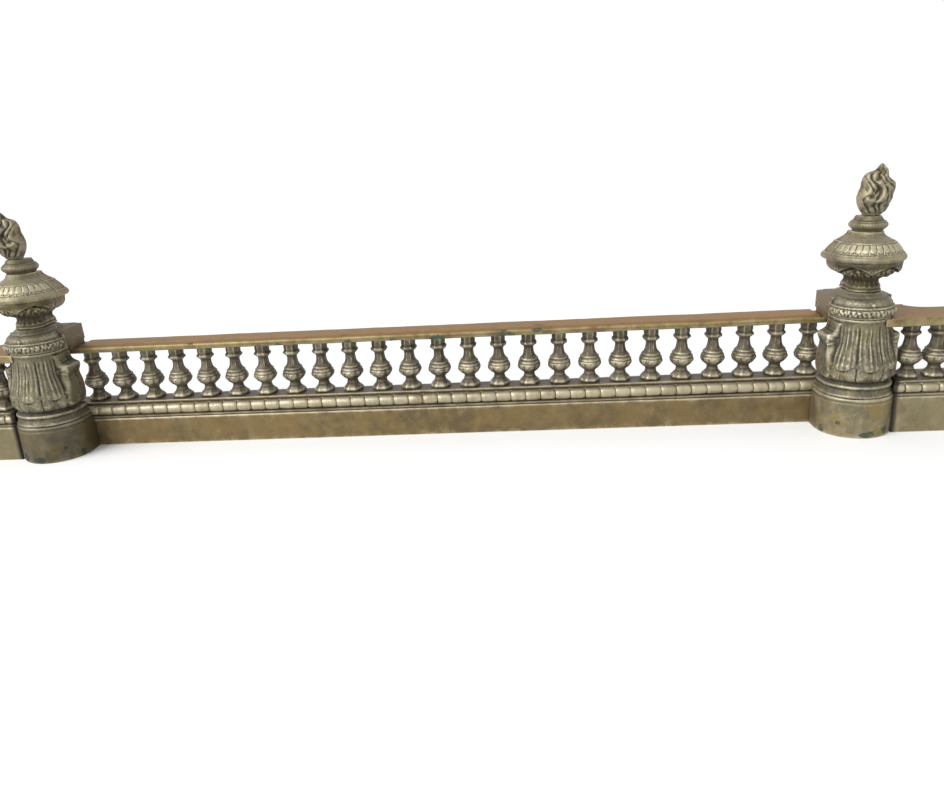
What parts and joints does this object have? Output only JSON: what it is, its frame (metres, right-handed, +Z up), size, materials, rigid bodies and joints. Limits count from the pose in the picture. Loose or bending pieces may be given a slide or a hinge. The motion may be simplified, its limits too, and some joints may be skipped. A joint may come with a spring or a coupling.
{
  "type": "fire fender",
  "caption": "Long brass hearth fender with a baluster gallery between two flaming-urn posts and a short balustraded wing beyond each post.",
  "frame": {"origin": "on the floor under the middle of the fender's overall box", "axes": "+X along the fender to its right end, +Z up, the decorated front faces -Y"},
  "size_m": [1.474, 0.1106, 0.3215],
  "materials": {
    "patinated_brass": "aged, olive-brown patina with rubbed highlights",
    "golden_brass": "aged, golden brown with dark mottling and verdigris",
    "rubbed_brass": "aged, pale rubbed highlights over dark recesses",
    "steel": "dull, browned"
  },
  "bodies": {
    "root": {"front_base": "golden_brass", "front_rail": "golden_brass", "front_baluster_01": "rubbed_brass", "front_baluster_02": "rubbed_brass", "front_baluster_03": "rubbed_brass", "front_baluster_04": "rubbed_brass", "front_baluster_05": "rubbed_brass", "front_baluster_06": "rubbed_brass", "front_baluster_07": "rubbed_brass", "front_baluster_08": "rubbed_brass", "front_baluster_09": "rubbed_brass", "front_baluster_10": "rubbed_brass", "front_baluster_11": "rubbed_brass", "front_baluster_12": "rubbed_brass", "front_baluster_13": "rubbed_brass", "front_baluster_14": "rubbed_brass", "front_baluster_15": "rubbed_brass", "front_baluster_16": "rubbed_brass", "front_baluster_17": "rubbed_brass", "front_baluster_18": "rubbed_brass", "front_baluster_19": "rubbed_brass", "front_baluster_20": "rubbed_brass", "front_baluster_21": "rubbed_brass", "front_baluster_22": "rubbed_brass", "front_baluster_23": "rubbed_brass", "front_baluster_24": "rubbed_brass", "front_baluster_25": "rubbed_brass", "left_foot": "patinated_brass", "left_vase_body": "patinated_brass", "left_capital": "patinated_brass", "left_urn": "patinated_brass", "left_urn_lid": "rubbed_brass", "left_collar": "rubbed_brass", "left_flame": "patinated_brass", "left_tie_rod": "steel", "left_foot_screw": "steel", "left_wing_base": "patinated_brass", "left_wing_rail": "golden_brass", "left_wing_baluster_01": "rubbed_brass", "left_wing_baluster_02": "rubbed_brass", "left_wing_baluster_03": "rubbed_brass", "left_wing_baluster_04": "rubbed_brass", "left_end_pilaster": "patinated_brass", "right_foot": "patinated_brass", "right_vase_body": "patinated_brass", "right_capital": "patinated_brass", "right_urn": "patinated_brass", "right_urn_lid": "rubbed_brass", "right_collar": "rubbed_brass", "right_flame": "patinated_brass", "right_tie_rod": "steel", "right_foot_screw": "steel", "right_wing_base": "patinated_brass", "right_wing_rail": "golden_brass", "right_wing_baluster_01": "rubbed_brass", "right_wing_baluster_02": "rubbed_brass", "right_wing_baluster_03": "rubbed_brass", "right_wing_baluster_04": "rubbed_brass", "right_end_pilaster": "patinated_brass"}
  },
  "joints": []
}
